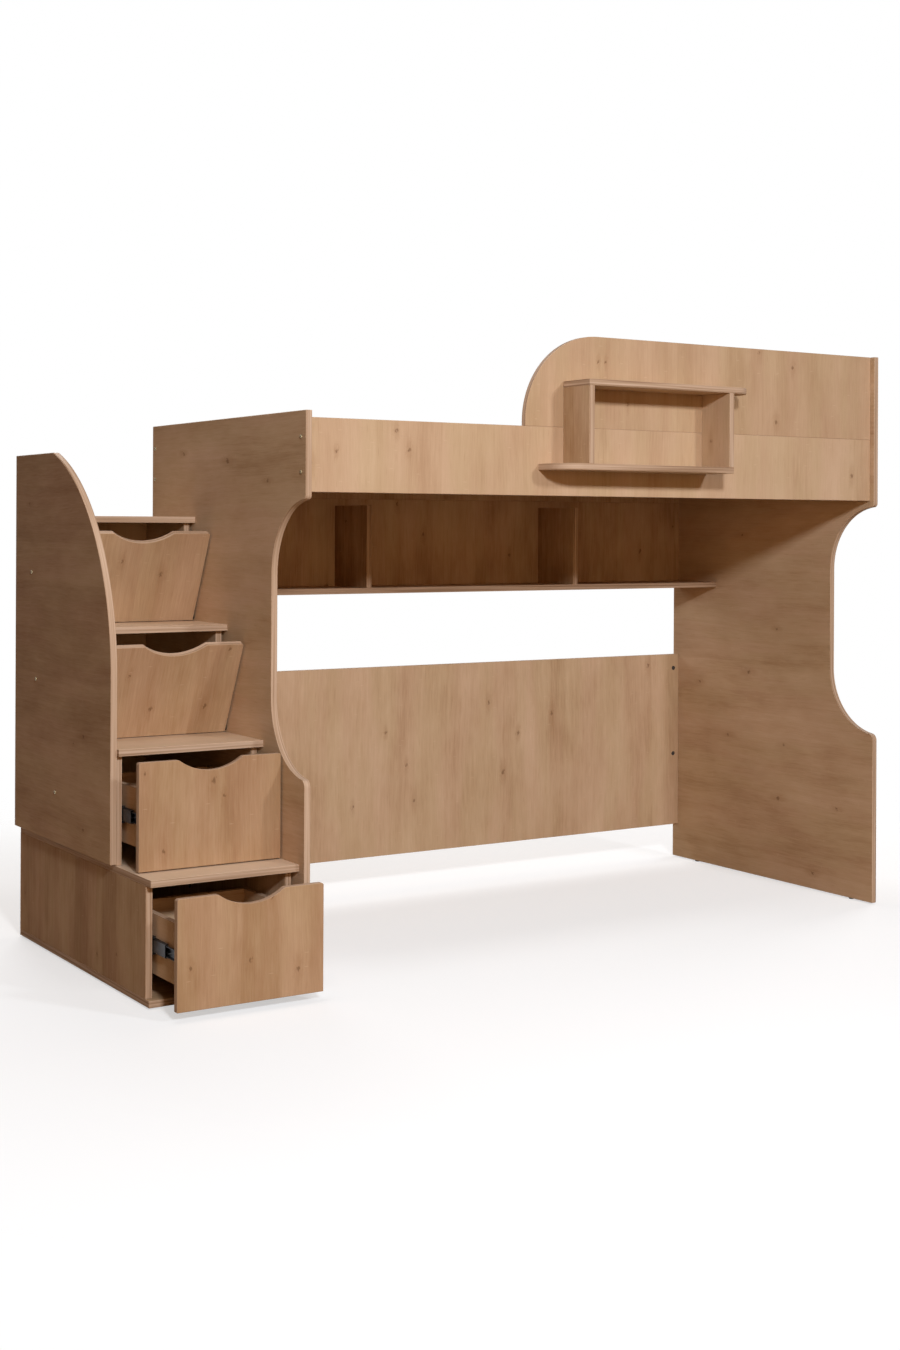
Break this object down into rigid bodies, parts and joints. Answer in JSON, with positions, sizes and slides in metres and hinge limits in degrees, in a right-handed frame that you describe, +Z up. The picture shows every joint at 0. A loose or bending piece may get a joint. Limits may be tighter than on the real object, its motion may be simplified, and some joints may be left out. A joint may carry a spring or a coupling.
{
  "type": "loft bed",
  "caption": "Loft bed in oak-look board: high boarded bed with round-cornered guard, box shelf, cut-out end panels and a stair whose steps hold drawers and tilt-out bins.",
  "frame": {"origin": "on the floor, at the middle of the object's outline as it stands with its drawers and bins open", "axes": "+X along the bed from the stair to the right end, +Y from the front to the back, +Z up"},
  "size_m": [2.4904, 1.104, 1.74],
  "materials": {
    "oak_laminate": "satin laminate with oak grain",
    "drawer_laminate": "satin laminate",
    "thin_back": "thin hardboard",
    "slat_wood": "planed softwood",
    "dowel_wood": "fluted beech",
    "slide_steel": "zinc-plated",
    "bolt_steel": "zinc-plated",
    "cam_zinc": "die-cast zinc",
    "black_plastic": "moulded"
  },
  "bodies": {
    "root": {"left_end_panel": "oak_laminate", "right_end_panel": "oak_laminate", "front_rail": "oak_laminate", "back_rail": "oak_laminate", "guard_board": "oak_laminate", "lower_back_panel": "oak_laminate", "upper_back_panel": "oak_laminate", "back_shelf": "oak_laminate", "shelf_divider_left": "oak_laminate", "shelf_divider_right": "oak_laminate", "bookshelf_bottom": "oak_laminate", "bookshelf_top": "oak_laminate", "bookshelf_left_side": "oak_laminate", "bookshelf_right_side": "oak_laminate", "stair_outer_panel": "oak_laminate", "base_bottom_board": "oak_laminate", "base_left_side": "oak_laminate", "base_right_side": "oak_laminate", "tread_1": "oak_laminate", "tread_2": "oak_laminate", "tread_3": "oak_laminate", "tread_4": "oak_laminate", "step_2_left_side": "oak_laminate", "step_2_right_side": "oak_laminate", "step_3_left_side": "oak_laminate", "step_3_right_side": "oak_laminate", "step_4_left_side": "oak_laminate", "step_4_right_side": "oak_laminate", "drawer_1_outer_slides": "slide_steel", "drawer_2_outer_slides": "slide_steel", "stair_backs": "thin_back", "bed_slats": "slat_wood", "slat_cleats": "slat_wood", "joint_dowels": "dowel_wood", "panel_bolts": "bolt_steel", "stair_bolts": "bolt_steel", "barrel_nuts": "bolt_steel", "joining_screws": "bolt_steel", "cam_locks": "cam_zinc", "flap_pivots": "slide_steel", "stay_keepers": "black_plastic", "glides": "black_plastic"},
    "drawer_1": {"drawer_1_front": "oak_laminate", "drawer_1_sides": "drawer_laminate", "drawer_1_back": "drawer_laminate", "drawer_1_bottom": "drawer_laminate", "drawer_1_inner_slides": "slide_steel"},
    "drawer_1_middle": {"drawer_1_middle_slides": "slide_steel"},
    "drawer_2": {"drawer_2_front": "oak_laminate", "drawer_2_sides": "drawer_laminate", "drawer_2_back": "drawer_laminate", "drawer_2_bottom": "drawer_laminate", "drawer_2_inner_slides": "slide_steel"},
    "drawer_2_middle": {"drawer_2_middle_slides": "slide_steel"},
    "bin_3": {"flap_3": "oak_laminate", "flap_3_stay": "slide_steel"},
    "bin_4": {"flap_4": "oak_laminate", "flap_4_stay": "slide_steel"}
  },
  "joints": [
    {"name": "drawer_1_slide", "type": "slide", "parent": "root", "child": "drawer_1", "axis": [0, -1, 0], "range_m": [-0.15, 0.17]},
    {"name": "drawer_1_middle_slide", "type": "slide", "parent": "root", "child": "drawer_1_middle", "axis": [0, -1, 0], "range_m": [-0.075, 0.085]},
    {"name": "drawer_2_slide", "type": "slide", "parent": "root", "child": "drawer_2", "axis": [0, -1, 0], "range_m": [-0.112, 0.208]},
    {"name": "drawer_2_middle_slide", "type": "slide", "parent": "root", "child": "drawer_2_middle", "axis": [0, -1, 0], "range_m": [-0.056, 0.104]},
    {"name": "bin_3_pivot", "type": "hinge", "parent": "root", "child": "bin_3", "pos_m": [-1.01725, 0.0293, 0.632], "axis": [1, 0, 0], "range_deg": [-25.3, 0]},
    {"name": "bin_4_pivot", "type": "hinge", "parent": "root", "child": "bin_4", "pos_m": [-1.01725, 0.247, 0.932], "axis": [1, 0, 0], "range_deg": [-25.3, 0]}
  ],
  "couplings": [
    {"joint": "drawer_1_middle_slide", "follows": "drawer_1_slide", "ratio": 0.5},
    {"joint": "drawer_2_middle_slide", "follows": "drawer_2_slide", "ratio": 0.5}
  ]
}
